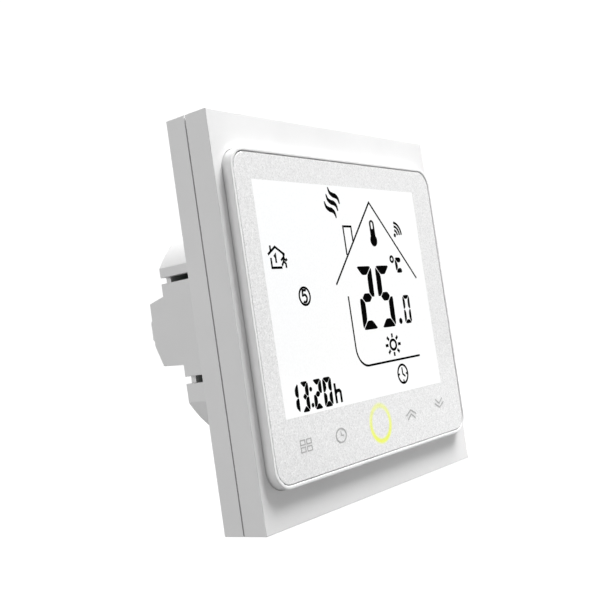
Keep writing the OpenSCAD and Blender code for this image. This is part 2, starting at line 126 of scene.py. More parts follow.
def round_corners(piece, radius, segments):
    """Rounds the four edges that run along Y."""
    take(piece)
    bpy.ops.object.mode_set(mode="EDIT")
    bpy.ops.mesh.select_all(action="DESELECT")
    shape = bmesh.from_edit_mesh(piece.data)
    for edge in shape.edges:
        way = (edge.verts[1].co - edge.verts[0].co).normalized()
        if abs(way.y) > 0.99:
            edge.select_set(True)
    bmesh.update_edit_mesh(piece.data)
    bpy.ops.mesh.bevel(offset=mm(radius), segments=segments, affect="EDGES")
    bpy.ops.object.mode_set(mode="OBJECT")
    return piece


def cut(piece, *tools):
    """Takes the tools' shapes out of the piece and removes the tools."""
    for tool in tools:
        take(piece)
        change = piece.modifiers.new("cut", "BOOLEAN")
        change.operation = "DIFFERENCE"
        change.solver = "EXACT"
        change.object = tool
        bpy.ops.object.modifier_apply(modifier=change.name)
        bpy.data.objects.remove(tool)
    return piece


def even(piece):
    """Shades the piece smooth, with its broad faces flat."""
    take(piece)
    bpy.ops.object.shade_smooth_by_angle(angle=SMOOTH_TURN)
    change = piece.modifiers.new("shading", "WEIGHTED_NORMAL")
    change.keep_sharp = True
    change.weight = 80
    bpy.ops.object.modifier_apply(modifier=change.name)
    return piece


def soften(piece, width, segments=2, keep=None):
    """Rounds the piece's sharp edges, but for those that keep(middle) leaves sharp."""
    take(piece)
    bpy.ops.object.mode_set(mode="EDIT")
    bpy.ops.mesh.select_all(action="DESELECT")
    shape = bmesh.from_edit_mesh(piece.data)
    for edge in shape.edges:
        middle = (edge.verts[0].co + edge.verts[1].co) / 2
        sharp = edge.calc_face_angle(0) > SHARP_TURN
        edge.select_set(sharp and not (keep and keep(1000 * middle)))
    bmesh.update_edit_mesh(piece.data)
    bpy.ops.transform.edge_bevelweight(value=1)
    bpy.ops.object.mode_set(mode="OBJECT")
    change = piece.modifiers.new("edges", "BEVEL")
    change.width = mm(width)
    change.segments = segments
    change.limit_method = "WEIGHT"
    change.use_clamp_overlap = False
    bpy.ops.object.modifier_apply(modifier=change.name)
    # Rounding can leave slivers where edges meet
    bpy.ops.object.mode_set(mode="EDIT")
    bpy.ops.mesh.select_all(action="SELECT")
    bpy.ops.mesh.dissolve_degenerate(threshold=mm(0.002))
    bpy.ops.object.mode_set(mode="OBJECT")
    return even(piece)


def join(name, *pieces):
    """Makes several shapes one piece."""
    leave_all()
    for piece in pieces:
        piece.select_set(True)
    bpy.context.view_layer.objects.active = pieces[0]
    if len(pieces) > 1:
        bpy.ops.object.join()
    joined = bpy.context.view_layer.objects.active
    joined.name = name
    return joined


def traced(name, node):
    """A copy of a node's shape as one merged skin with whole faces, to be refined."""
    shape = nodes[node].data.copy()
    shape.materials.clear()
    piece = bpy.data.objects.new(name, shape)
    bpy.context.scene.collection.objects.link(piece)
    take(piece)
    bpy.ops.object.mode_set(mode="EDIT")
    bpy.ops.mesh.select_all(action="SELECT")
    bpy.ops.mesh.remove_doubles(threshold=mm(0.001))
    bpy.ops.mesh.dissolve_limited(angle_limit=math.radians(1))
    bpy.ops.object.mode_set(mode="OBJECT")
    return piece


def done(piece, body, finish, slot, *stands_for):
    """Gives a piece its finish and its body, and hides the nodes that it stands for."""
    piece.data.materials.clear()
    piece.data.materials.append(finish)
    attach(piece, body)
    if stands_for:
        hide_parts(*stands_for)
    return piece


# ---------------------------------------------------------------- finishes


class Finish:
    """A material whose colour, roughness and relief come from patterns on the part."""

    def __init__(self, name, rough=0.5, metal=0.0, **sockets):
        self.material = bpy.data.materials.new(name)
        self.material.use_nodes = True
        self.tree = self.material.node_tree
        self.shader = self.tree.nodes["Principled BSDF"]
        self.shader.inputs["Roughness"].default_value = rough
        self.shader.inputs["Metallic"].default_value = metal
        for socket, value in sockets.items():
            self.shader.inputs[socket.replace("_", " ")].default_value = value
        self.place = self.add("ShaderNodeTexCoord").outputs["Object"]
        self.relief = None

    def add(self, kind, **values):
        """A node with these properties."""
        node = self.tree.nodes.new(kind)
        for key, value in values.items():
            setattr(node, key, value)
        return node

    def link(self, out, into):
        self.tree.links.new(out, into)

    def stretched(self, scale, shift=(0, 0, 0), turn=(0, 0, 0)):
        """The part's coordinates, stretched, moved and turned."""
        mapping = self.add("ShaderNodeMapping")
        mapping.inputs["Scale"].default_value = scale
        mapping.inputs["Location"].default_value = shift
        mapping.inputs["Rotation"].default_value = turn
        self.link(self.place, mapping.inputs["Vector"])
        return mapping.outputs["Vector"]

    def noise(self, scale, detail=2.0, where=None):
        node = self.add("ShaderNodeTexNoise")
        node.inputs["Scale"].default_value = scale
        node.inputs["Detail"].default_value = detail
        self.link(where or self.place, node.inputs["Vector"])
        return node.outputs["Fac"]

    def cells(self, scale, where=None, out="Distance"):
        node = self.add("ShaderNodeTexVoronoi")
        node.inputs["Scale"].default_value = scale
        self.link(where or self.place, node.inputs["Vector"])
        return node.outputs[out]

    def tracks(self, scale, width):
        """A net of straight lines along X and Z, 1 on the lines."""
        node = self.add("ShaderNodeTexBrick", offset=0.37, squash=0.55, squash_frequency=3)
        node.inputs["Scale"].default_value = scale
        node.inputs["Mortar Size"].default_value = width
        self.link(self.stretched((1, 0, 1), turn=(-math.pi / 2, 0, 0)), node.inputs["Vector"])
        return node.outputs["Fac"]

    def bands(self, scale):
        """Bands across Y, a little uneven."""
        node = self.add("ShaderNodeTexWave", bands_direction="Y")
        node.inputs["Scale"].default_value = scale
        node.inputs["Distortion"].default_value = 0.2
        self.link(self.place, node.inputs["Vector"])
        return node.outputs["Fac"]

    def ramp(self, value, *stops, steps="LINEAR"):
        """Colours at places from 0 to 1: each stop is (place, colour)."""
        node = self.add("ShaderNodeValToRGB")
        node.color_ramp.interpolation = steps
        points = node.color_ramp.elements
        while len(points) < len(stops):
            points.new(0.5)
        for point, (at, colour) in zip(points, stops):
            point.position = at
            point.color = (*colour, 1)
        self.link(value, node.inputs["Fac"])
        return node.outputs["Color"]

    def spread(self, value, low, high, bottom=0.0, top=1.0):
        """Stretches a value that runs from bottom to top to run from low to high."""
        node = self.add("ShaderNodeMapRange")
        for socket, number in (
            ("From Min", bottom), ("From Max", top), ("To Min", low), ("To Max", high)
        ):
            node.inputs[socket].default_value = number
        self.link(value, node.inputs["Value"])
        return node.outputs["Result"]

    def maths(self, operation, first, second):
        """A sum on two values, each a number or another node's output."""
        node = self.add("ShaderNodeMath", operation=operation)
        for socket, value in zip(node.inputs, (first, second)):
            if isinstance(value, (int, float)):
                socket.default_value = value
            else:
                self.link(value, socket)
        return node.outputs[0]

    def blend(self, share, first, second):
        """A mix of two colours by a share from 0 to 1."""
        node = self.add("ShaderNodeMix", data_type="RGBA")
        for name, value in (("Factor_Float", share), ("A_Color", first), ("B_Color", second)):
            socket = [s for s in node.inputs if s.identifier == name][0]
            if isinstance(value, tuple):
                socket.default_value = (*value, 1)
            else:
                self.link(value, socket)
        return [s for s in node.outputs if s.identifier == "Result_Color"][0]

    def colour(self, out):
        self.link(out, self.shader.inputs["Base Color"])

    def glow(self, out, strength):
        self.link(out, self.shader.inputs["Emission Color"])
        self.shader.inputs["Emission Strength"].default_value = strength

    def roughness(self, value, low, high):
        self.link(self.spread(value, low, high), self.shader.inputs["Roughness"])

    def bump(self, value, depth):
        """Relief of this depth in millimetres, on top of any relief before it."""
        node = self.add("ShaderNodeBump")
        node.inputs["Distance"].default_value = mm(depth)
        self.link(value, node.inputs["Height"])
        if self.relief:
            self.link(self.relief, node.inputs["Normal"])
        self.relief = node.outputs["Normal"]
        self.link(self.relief, self.shader.inputs["Normal"])


def grey(value):
    return (value, value, value)


def moulded_plastic(name, low, high, rough, grain=0.012):
    """Injection-moulded plastic: a fine spark-eroded grain and faint flow marks."""
    finish = Finish(name, rough)
    flow = finish.noise(60, 3)
    finish.colour(finish.ramp(flow, (0.3, low), (0.7, high)))
    fine = finish.noise(3600, 3)
    finish.roughness(finish.noise(900, 2), rough - 0.06, rough + 0.07)
    finish.bump(fine, grain)
    return finish.material


def plated_metal(name, low, high, rough):
    """Rolled and plated metal: fine streaks one way, and cloudy spots."""
    finish = Finish(name, rough, 1.0)
    streaks = finish.noise(700, 4, finish.stretched((0.12, 1, 1)))
    clouds = finish.noise(120, 2)
    both = finish.maths("MULTIPLY", streaks, clouds)
    finish.colour(finish.ramp(both, (0.12, low), (0.45, high)))
    finish.roughness(clouds, rough - 0.08, rough + 0.12)
    finish.bump(streaks, 0.004)
    return finish.material


def board_finish(name, mask, solder):
    """Solder mask over copper: straight tracks of two widths, and soldered pads."""
    finish = Finish(name, 0.35, Coat_Weight=0.4, Coat_Roughness=0.2)
    flat = finish.stretched((1, 0, 1))
    areas = finish.noise(110, 1)
    # Each net of tracks shows in some areas only
    fine_area = finish.maths("GREATER_THAN", areas, 0.5)
    fine = finish.maths("MULTIPLY", finish.tracks(150, 0.022), fine_area)
    broad_area = finish.maths("GREATER_THAN", areas, 0.38)
    broad = finish.maths("MULTIPLY", finish.tracks(70, 0.045), broad_area)
    tracks = finish.maths("MAXIMUM", fine, broad)
    pads = finish.cells(330, flat)
    dots = finish.ramp(pads, (0.0, grey(1)), (0.15, grey(0)), steps="CONSTANT")
    fibre = finish.noise(900, 2)
    shade = finish.ramp(fibre, (0.3, mask), (0.7, tuple(1.25 * c for c in mask)))
    shade = finish.blend(tracks, shade, tuple(2.1 * c for c in mask))
    shade = finish.blend(dots, shade, solder)
    finish.colour(shade)
    finish.roughness(fibre, 0.28, 0.45)
    finish.bump(tracks, 0.02)
    return finish.material


def printed_glass():
    """White pearl print under glass, with the lit ring of the middle key."""
    finish = Finish("printed_glass", 0.22, Coat_Weight=0.5, Coat_Roughness=0.04)
    flakes = finish.add("ShaderNodeRGBToBW")
    finish.link(finish.cells(3300, out="Color"), flakes.inputs[0])
    fine = finish.noise(5200, 2)
    speck = finish.maths("MULTIPLY", flakes.outputs[0], 0.55)
    speck = finish.maths("ADD", speck, finish.maths("MULTIPLY", fine, 0.45))
    white = finish.ramp(
        speck, (0.2, grey(0.67)), (0.42, grey(0.795)), (0.6, grey(0.845)), (0.75, grey(0.95))
    )
    # The ring is brightest between two circles, and dims towards its foot
    away = finish.add("ShaderNodeVectorMath", operation="LENGTH")
    round_key = finish.stretched((1, 0, 1), mm(0, 0, -KEY_ROW))
    finish.link(round_key, away.inputs[0])
    lit = finish.ramp(
        finish.spread(away.outputs["Value"], 0, 1, mm(2.8), mm(5.6)),
        (0.16, grey(0)), (0.36, grey(1)), (0.56, grey(1)), (0.76, grey(0)),
    )
    height = finish.add("ShaderNodeSeparateXYZ")
    finish.link(round_key, height.inputs[0])
    near_lamps = finish.spread(height.outputs["Z"], 1.0, 0.62, mm(-3.2), mm(3.8))
    lit = finish.maths("MULTIPLY", lit, near_lamps)
    finish.colour(finish.blend(lit, white, (0.76, 0.82, 0.08)))
    finish.glow(finish.blend(lit, grey(0.0), (0.95, 1.0, 0.12)), 0.12)
    finish.roughness(fine, 0.18, 0.34)
    finish.bump(speck, 0.006)
    return finish.material


def lit_crystal():
    """The lit white field of the display, with its faint dot structure."""
    finish = Finish("lit_crystal", 0.25, Coat_Weight=0.4, Coat_Roughness=0.05)
    dots = finish.noise(2400, 1)
    finish.colour(finish.ramp(dots, (0.3, grey(0.46)), (0.7, grey(0.5))))
    cool, warm = (0.97, 0.985, 1.0), (1.0, 1.0, 0.99)
    finish.glow(finish.ramp(finish.noise(25, 1), (0.3, cool), (0.7, warm)), 0.52)
    finish.roughness(dots, 0.2, 0.3)
    return finish.material


def crystal_ink(name, low, high):
    """The dark shapes of the display, or a print: nearly flat, faintly uneven."""
    finish = Finish(name, 0.8, Specular_IOR_Level=0.0)
    uneven = finish.noise(1500, 2)
    finish.colour(finish.ramp(uneven, (0.3, low), (0.7, high)))
    finish.roughness(uneven, 0.7, 0.9)
    return finish.material


def wound_wire(name, low, high):
    """Enamelled wire wound in close turns."""
    finish = Finish(name, 0.3, 0.9, Coat_Weight=0.5, Coat_Roughness=0.15)
    turns = finish.bands(900)
    finish.colour(finish.ramp(turns, (0.1, low), (0.7, high)))
    finish.roughness(finish.noise(400, 2), 0.22, 0.4)
    finish.bump(turns, 0.08)
    return finish.material


def clear_plastic(name, colour, alpha):
    """Clear moulded plastic with a faint haze."""
    finish = Finish(name, 0.15, Alpha=alpha)
    haze = finish.noise(300, 3)
    paler = tuple(min(1, 1.08 * c) for c in colour)
    finish.colour(finish.ramp(haze, (0.3, colour), (0.7, paler)))
    finish.roughness(haze, 0.1, 0.25)
    return finish.material


# By slot: each finish with its darkest and lightest colour, roughness and grain depth
FINISHES = {
    "white_shell": moulded_plastic("white_shell_plastic", grey(0.79), grey(0.83), 0.42),
    "white_inner": moulded_plastic(
        "white_inner_plastic", (0.72, 0.72, 0.7), (0.77, 0.77, 0.75), 0.5
    ),
    "touch_glass": printed_glass(),
    "lcd_glass": clear_plastic("crystal_cell", (0.55, 0.6, 0.56), 1.0),
    "clear_acrylic": clear_plastic("clear_light_plate", (0.85, 0.9, 0.93), 0.45),
    "ring_light": clear_plastic("ring_light_plastic", (0.7, 0.9, 0.2), 1.0),
    "steel": plated_metal("zinc_plated_steel", (0.42, 0.43, 0.43), (0.74, 0.75, 0.74), 0.34),
    "brass": plated_metal("bright_brass", (0.55, 0.38, 0.14), (0.85, 0.64, 0.28), 0.28),
    "tin": plated_metal("tinned_sheet", (0.55, 0.56, 0.56), (0.8, 0.81, 0.8), 0.25),
    "iron": plated_metal("nickelled_iron", (0.35, 0.34, 0.32), (0.62, 0.61, 0.58), 0.36),
    "copper": wound_wire("copper_winding", (0.36, 0.13, 0.05), (0.78, 0.36, 0.18)),
    "winding_tape": moulded_plastic(
        "yellow_tape", (0.62, 0.46, 0.08), (0.74, 0.56, 0.12), 0.35, 0.03
    ),
    "ferrite": moulded_plastic(
        "dark_ferrite", (0.03, 0.03, 0.035), (0.06, 0.06, 0.065), 0.6, 0.05
    ),
    "circuit_board": board_finish("green_board", (0.012, 0.07, 0.03), (0.55, 0.55, 0.5)),
    "black_plastic": moulded_plastic(
        "black_moulding", (0.018, 0.018, 0.02), (0.03, 0.03, 0.032), 0.45, 0.02
    ),
    "grey_plastic": moulded_plastic(
        "grey_moulding", (0.16, 0.17, 0.18), (0.2, 0.21, 0.22), 0.48, 0.02
    ),
    "blue_case": moulded_plastic(
        "blue_relay_case", (0.015, 0.08, 0.35), (0.025, 0.11, 0.42), 0.32
    ),
    "capacitor_sleeve": moulded_plastic(
        "capacitor_sleeve", (0.015, 0.02, 0.05), (0.03, 0.035, 0.08), 0.28, 0.01
    ),
    "film_case": moulded_plastic(
        "film_capacitor_case", (0.6, 0.42, 0.05), (0.7, 0.5, 0.08), 0.4, 0.02
    ),
    "varistor_coat": moulded_plastic(
        "varistor_coating", (0.02, 0.09, 0.26), (0.03, 0.13, 0.33), 0.3, 0.03
    ),
    "fuse_body": moulded_plastic(
        "fuse_body", (0.25, 0.1, 0.04), (0.33, 0.14, 0.06), 0.35, 0.02
    ),
    "led": clear_plastic("light_chip", (0.9, 0.86, 0.45), 1.0),
}
LIT_FIELD = lit_crystal()
BLACK_INK = crystal_ink("crystal_black", grey(0.0012), grey(0.003))
GREY_INK = crystal_ink("key_print_grey", grey(0.4), grey(0.47))
TERMINAL_INK = crystal_ink("terminal_print_grey", grey(0.1), grey(0.14))

# Every node comes with a plain material named for its slot
for node in nodes.values():
    slot = node.data.materials[0].name.split(".")[0]
    node.data.materials.clear()
    node.data.materials.append(FINISHES[slot])


# ---------------------------------------------------------------- camera and light


# The camera looks this way along the floor; the room and the floor grow brighter along it
VIEW_WAY = (0.8, 0.6, 0.0)
CAMERA_PLACE = (-183.08, -133.35, -7.25)
CAMERA_TURN = (92.5002, 8.3552, -52.9135)
FLOOR_HEIGHT = -1.2
# Each light shines at the thermostat: name, place and size in metres, and watts
LIGHTS = (
    ("key_light", (0.33, -0.32, 0.77), 0.44, 16.2),
    ("side_light", (-1.0, 0.2, 0.1), 0.6, 3.3),
    ("low_light", (0.9, -0.3, -0.45), 0.5, 1.9),
)


def aim_camera(scene):
    """A close camera on the display's left, near the thermostat's own height."""
    camera = bpy.data.cameras.new("camera")
    camera.lens = 55.2
    camera.clip_start = mm(5)
    holder = bpy.data.objects.new("camera", camera)
    scene.collection.objects.link(holder)
    holder.location = mm(*CAMERA_PLACE)
    holder.rotation_euler = [math.radians(angle) for angle in CAMERA_TURN]
    scene.camera = holder


def pale_room(scene):
    """An even pale room, brightest behind the thermostat."""
    world = bpy.data.worlds.new("room")
    scene.world = world
    world.use_nodes = True
    tree = world.node_tree
    place = tree.nodes.new("ShaderNodeTexCoord")
    dot = tree.nodes.new("ShaderNodeVectorMath")
    dot.operation = "DOT_PRODUCT"
    dot.inputs[1].default_value = VIEW_WAY
    spread = tree.nodes.new("ShaderNodeMapRange")
    spread.inputs["From Min"].default_value = 0.4
    spread.inputs["From Max"].default_value = 0.88
    spread.inputs["To Min"].default_value = 0.36
    spread.inputs["To Max"].default_value = 1.06
    tree.links.new(place.outputs["Generated"], dot.inputs[0])
    tree.links.new(dot.outputs["Value"], spread.inputs["Value"])
    tree.links.new(spread.outputs["Result"], tree.nodes["Background"].inputs["Strength"])
    tree.nodes["Background"].inputs["Color"].default_value = (1, 1, 1, 1)


def pale_floor():
    """A wide floor that glows more and more away from the camera."""
    leave_all()
    bpy.ops.mesh.primitive_plane_add(size=60, location=(0, 0, FLOOR_HEIGHT))
    floor = bpy.context.object
    floor.name = "floor"
    settle(floor)
    pale = Finish("pale_floor", 0.9)
    pale.colour(pale.ramp(pale.noise(3, 2), (0.3, grey(0.5)), (0.7, grey(0.53))))
    along = pale.add("ShaderNodeVectorMath", operation="DOT_PRODUCT")
    along.inputs[1].default_value = VIEW_WAY
    pale.link(pale.place, along.inputs[0])
    far = pale.spread(along.outputs["Value"], 0, 1, 2.0, 3.4)
    pale.glow(pale.ramp(far, (0.0, grey(0)), (1.0, grey(1))), 0.85)
    floor.data.materials.append(pale.material)


def studio():
    """The camera, the room, the floor and three soft lights."""
    scene = bpy.context.scene
    scene.view_settings.view_transform = "Standard"
    aim_camera(scene)
    pale_room(scene)
    pale_floor()
    for label, place, size, watts in LIGHTS:
        light = bpy.data.lights.new(label, "AREA")
        light.size = size
        light.energy = watts
        lamp = bpy.data.objects.new(label, light)
        scene.collection.objects.link(lamp)
        lamp.location = place
        lamp.rotation_euler = (-Vector(place)).to_track_quat("-Z", "Y").to_euler()


studio()


# ---------------------------------------------------------------- mouldings


def at_gap(middle):
    """True round the narrow gap between the frame and the base."""
    return -5.6 < middle.y < -5.0


def at_gap_or_ridge(middle):
    """True round that gap, and on the small rounded ridge above the terminals."""
    return at_gap(middle) or (middle.y > 31.9 and -1.2 < middle.z < 4.8)


def cross_recess(piece, at, y, reach, wide):
    """Sinks a cross into a screw head at (x, z), through the span y."""
    for along, across in ((reach, wide / 2), (wide / 2, reach)):
        x = (at[0] - along, at[0] + along)
        z = (at[1] - across, at[1] + across)
        cut(piece, block("slot", x, y, z))


def screws():
    """The cross-head screws, and the slotted screws and leaves of the terminals."""
    plate = traced("plate_cross_screws", "plate_screws")
    for place in ((-33, -27), (-33, 27), (33, -27), (33, 27)):
        cross_recess(plate, place, (-0.65, 0.2), 1.2, 0.48)
    done(soften(plate, 0.07), "wall_unit", FINISHES["tin"], "tin", "plate_screws")

    cover = traced("back_cover_screws", "module_screws")
    for place in ((-30, 32.4), (30, 32.4), (-36, -30.5), (36, -30.5)):
        cross_recess(cover, place, (-3.85, -3.2), 0.95, 0.4)
    done(soften(cover, 0.06), "display_unit", FINISHES["tin"], "tin", "module_screws")

    for i in TERMINALS:
        screw = soften(traced(f"slotted_screw_{i}", f"terminal_screw_{i}"), 0.12)
        done(screw, f"screw_{i}", FINISHES["tin"], "tin", f"terminal_screw_{i}")
        leaf = soften(traced(f"clamp_leaf_{i}", f"clamp_plate_{i}"), 0.08)
        done(leaf, f"clamp_{i}", FINISHES["tin"], "tin", f"clamp_plate_{i}")


def crystal_cell():
    """Two glass sheets round a seal, the rear one longer, with a film on each face."""
    low, high = ([1000 * c for c in corner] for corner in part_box("lcd_panel"))
    middle = (low[1] + high[1]) / 2
    film, seal, ledge = 0.14, 0.06, 2.4
    sheets = []
    for name, y, inset, foot in (
        ("film", (low[1], low[1] + film), 1.4, ledge),
        ("front_sheet", (low[1] + film, middle - seal), 0, ledge),
        ("seal", (middle - seal, middle + seal), 0.8, ledge),
        ("rear_sheet", (middle + seal, high[1] - film), 0, 0),
        ("film", (high[1] - film, high[1]), 1.4, 0),
    ):
        sheet = block(name, (low[0] + inset, high[0] - inset), y,
                      (low[2] + foot + inset, high[2] - inset))
        sheets.append(soften(sheet, 0.04, 1))
    cell = join("crystal_cell", *sheets)
    done(cell, "display_unit", FINISHES["lcd_glass"], "lcd_glass", "lcd_panel")


def key_springs():
    """A wound contact spring behind each touch key."""
    front, back, turns, coil_radius, wire_radius, sides = -11.9, -7.35, 7, 2.28, 0.19, 8
    leave_all()
    bpy.ops.mesh.primitive_circle_add(
        vertices=sides,
        radius=mm(wire_radius),
        fill_type="NOTHING",
        location=mm(coil_radius, front, 0),
    )
    coil = settle(bpy.context.object)
    change = coil.modifiers.new("turns", "SCREW")
    change.axis = "Y"
    change.iterations = turns
    change.screw_offset = mm((back - front) / turns)
    change.steps = change.render_steps = 22
    change.use_normal_calculate = True
    bpy.ops.object.modifier_apply(modifier=change.name)
    bpy.ops.object.mode_set(mode="EDIT")
    bpy.ops.mesh.select_all(action="SELECT")
    bpy.ops.mesh.fill_holes(sides=sides)
    bpy.ops.mesh.normals_make_consistent(inside=False)
    bpy.ops.object.mode_set(mode="OBJECT")
    coils = []
    for x in KEYS:
        spring = bpy.data.objects.new("spring", coil.data.copy())
        bpy.context.scene.collection.objects.link(spring)
        spring.location = mm(x, 0, KEY_ROW)
        coils.append(settle(spring))
    bpy.data.objects.remove(coil)
    springs = even(join("key_springs", *coils))
    done(springs, "display_unit", FINISHES["tin"], "tin", "touch_springs")


def terminal_numbers():
    """Printed figures 1 to 6 above the terminals, read from behind."""
    middle = (TERMINALS[0] + TERMINALS[-1]) / 2
    figures = []
    for i in TERMINALS:
        leave_all()
        bpy.ops.object.text_add(
            location=mm(TERMINAL_PITCH * (middle - i), 32, 5.5),
            rotation=(math.pi / 2, 0, math.pi),
        )
        letter = bpy.context.object.data
        letter.body = str(i)
        letter.align_x = "CENTER"
        letter.size = mm(3)
        letter.offset = mm(0.05)
        letter.extrude = mm(0.03)
        bpy.ops.object.convert(target="MESH")
        figures.append(settle(bpy.context.object))
    done(join("terminal_numbers", *figures), "wall_unit", TERMINAL_INK, "white_shell")


def mouldings():
    """The moulded, stamped and wound parts, with their sharp edges rounded off."""
    for name, node, body, slot, width, keep in (
        ("frame_moulding", "front_frame", "display_unit", "white_shell", 0.16, at_gap),
        ("display_shell", "panel_shell", "display_unit", "white_shell", 0.2, None),
        ("base_and_bucket", "rear_housing", "wall_unit", "white_shell", 0.14, at_gap_or_ridge),
        ("display_back_cover", "module_cover", "display_unit", "white_inner", 0.08, None),
        ("mains_cover", "bucket_cover", "wall_unit", "white_inner", 0.15, None),
        ("terminal_strip", "terminal_block", "wall_unit", "grey_plastic", 0.1, None),
        ("crystal_tray", "lcd_tray", "display_unit", "white_inner", 0.15, None),
        ("steel_plate", "mounting_plate", "wall_unit", "steel", 0.1, None),
        ("brass_terminals", "terminal_bodies", "wall_unit", "brass", 0.08, None),
        ("plug_socket", "link_socket", "wall_unit", "black_plastic", 0.08, None),
        ("plug_strip", "pin_header", "display_unit", "black_plastic", 0.08, None),
        ("plug_pins", "header_pins", "display_unit", "brass", 0.1, None),
        ("relay_dust_case", "relay_case", "wall_unit", "blue_case", 0.25, None),
        ("relay_foot", "relay_base", "wall_unit", "black_plastic", 0.2, None),
        ("relay_iron", "relay_yoke", "wall_unit", "iron", 0.08, None),
        ("relay_bobbin", "relay_coil", "wall_unit", "copper", 0.08, None),
        ("relay_rocker", "relay_armature", "relay_armature", "iron", 0.06, None),
        ("relay_blades", "relay_contacts", "wall_unit", "brass", 0.05, None),
        ("transformer_ferrite", "transformer_core", "wall_unit", "ferrite", 0.2, None),
        ("transformer_coil", "transformer_winding", "wall_unit", "winding_tape", 1.2, None),
        ("film_capacitor", "filter_capacitor", "wall_unit", "film_case", 0.4, None),
        ("varistor_disc", "varistor", "wall_unit", "varistor_coat", 0.12, None),
        ("mains_chips", "power_chips", "wall_unit", "black_plastic", 0.1, None),
        ("controller_chip", "control_chip", "display_unit", "black_plastic", 0.1, None),
        ("radio_can", "radio_module", "display_unit", "tin", 0.15, None),
        ("smoothing_capacitor", "bulk_capacitor", "wall_unit", "capacitor_sleeve", 0.5, None),
        ("glass_fuse", "fuse", "wall_unit", "fuse_body", 0.25, None),
        ("light_plate", "light_guide", "display_unit", "clear_acrylic", 0.3, None),
        ("mains_riser", "riser_board", "wall_unit", "circuit_board", 0.06, None),
    ):
        piece = soften(traced(name, node), width, keep=keep)
        done(piece, body, FINISHES[slot], slot, node)


mouldings()
screws()
crystal_cell()
key_springs()
terminal_numbers()


# ---------------------------------------------------------------- display print


def flat(name, *outlines):
    """A flat shape in X and Z on the glass; an outline inside another is a hole."""
    line = bpy.data.curves.new(name, "CURVE")
    line.dimensions = "2D"
    line.fill_mode = "BOTH"
    line.extrude = mm(INK / 2)
    for outline in outlines:
        spline = line.splines.new("POLY")
        spline.points.add(len(outline) - 1)
        for point, (x, z) in zip(spline.points, outline):
            point.co = (*mm(x, z, 0), 1)
        spline.use_cyclic_u = True
    piece = bpy.data.objects.new(name, line)
    bpy.context.scene.collection.objects.link(piece)
    take(piece)
    bpy.ops.object.convert(target="MESH")
    piece = bpy.context.object
    piece.rotation_euler = (math.pi / 2, 0, 0)
    piece.location = mm(0, GLASS_FRONT - INK, 0)
    return settle(piece)


def circle(middle, radius, start=0, end=360, steps=40, wide=1.0):
    """Points round a circle, or along an arc of it."""
    turns = [math.radians(start + (end - start) * i / steps) for i in range(steps + 1)]
    if end - start == 360:
        turns = turns[:-1]
    return [
        (middle[0] + wide * radius * math.cos(t), middle[1] + radius * math.sin(t))
        for t in turns
    ]


def eased(points):
    """A smooth line through the points."""
    steps = 6
    ends = [points[0], *points, points[-1]]
    line = []
    for i in range(len(points) - 1):
        a, b, c, d = (Vector(p) for p in ends[i : i + 4])
        for k in range(steps):
            t = k / steps
            line.append(
                0.5 * (2 * b + (c - a) * t + (2 * a - 5 * b + 4 * c - d) * t * t
                       + (3 * b - a - 3 * c + d) * t ** 3)
            )
    return [tuple(p) for p in line] + [points[-1]]


def rounded(outline, share):
    """An outline with its corners cut back twice, so that they look round."""
    for _ in range(2):
        ahead = outline[1:] + outline[:1]
        outline = [
            (p[0] + k * (q[0] - p[0]), p[1] + k * (q[1] - p[1]))
            for p, q in zip(outline, ahead)
            for k in (share, 1 - share)
        ]
    return outline


def ribbon(points, width, swell=0.0):
    """The outline of a line of this width, which swell makes wider in the middle."""
    places = [Vector(p) for p in points]
    sides = []
    for i, here in enumerate(places):
        before = (here - places[max(i - 1, 0)]).normalized()
        after = (places[min(i + 1, len(places) - 1)] - here).normalized()
        way = (before + after).normalized()
        out = Vector((-way.y, way.x))
        along = after if i == 0 else before
        lean = max(out.dot(Vector((-along.y, along.x))), 0.4)
        wide = width + swell * math.sin(math.pi * i / (len(places) - 1))
        sides.append(out * (wide / 2) / lean)
    left = [tuple(p + s) for p, s in zip(places, sides)]
    right = [tuple(p - s) for p, s in zip(places, sides)]
    return left + right[::-1]


def lines(name, width, *paths):
    """Flat lines of one width."""
    return [flat(name, ribbon(path, width)) for path in paths]


def hoop(name, middle, outer, inner, wide=1.0):
    """A ring between two circles."""
    return flat(name, circle(middle, outer, wide=wide), circle(middle, inner, wide=wide))


# The seven segments by letter, clockwise from the top one, with g in the middle
SEGMENTS = {"0": "abcdef", "1": "bc", "2": "abged", "3": "abgcd", "5": "afgcd"}


def digit(name, character, x, z, thick, gap, soft=0.12):
    """A seven-segment digit in a box given by its spans along X and Z."""
    lean = 0.035
    left, right = x
    low, high = z
    middle, half = (low + high) / 2, thick / 2
    top = [(left + gap, high), (right - gap, high), (right - thick - gap, high - thick),
           (left + thick + gap, high - thick)]
    upper = [(right, high - gap), (right, middle + gap), (right - half, middle + gap),
             (right - thick, middle + half + gap), (right - thick, high - thick - gap)]
    shapes = {
        "a": top,
        "b": upper,
        "c": [(px, 2 * middle - pz) for px, pz in upper],
        "d": [(px, 2 * middle - pz) for px, pz in top],
        "e": [(left + right - px, 2 * middle - pz) for px, pz in upper],
        "f": [(left + right - px, pz) for px, pz in upper],
        "g": [(left + half + gap, middle), (left + thick + gap, middle + half),
              (right - thick - gap, middle + half), (right - half - gap, middle),
              (right - thick - gap, middle - half), (left + thick + gap, middle - half)],
    }
    return [
        flat(name, rounded([(px + lean * (pz - low), pz) for px, pz in shapes[key]], soft))
        for key in SEGMENTS[character]
    ]


def printed(name, finish, slot, *pieces):
    return done(join(name, *pieces), "display_unit", finish, slot)


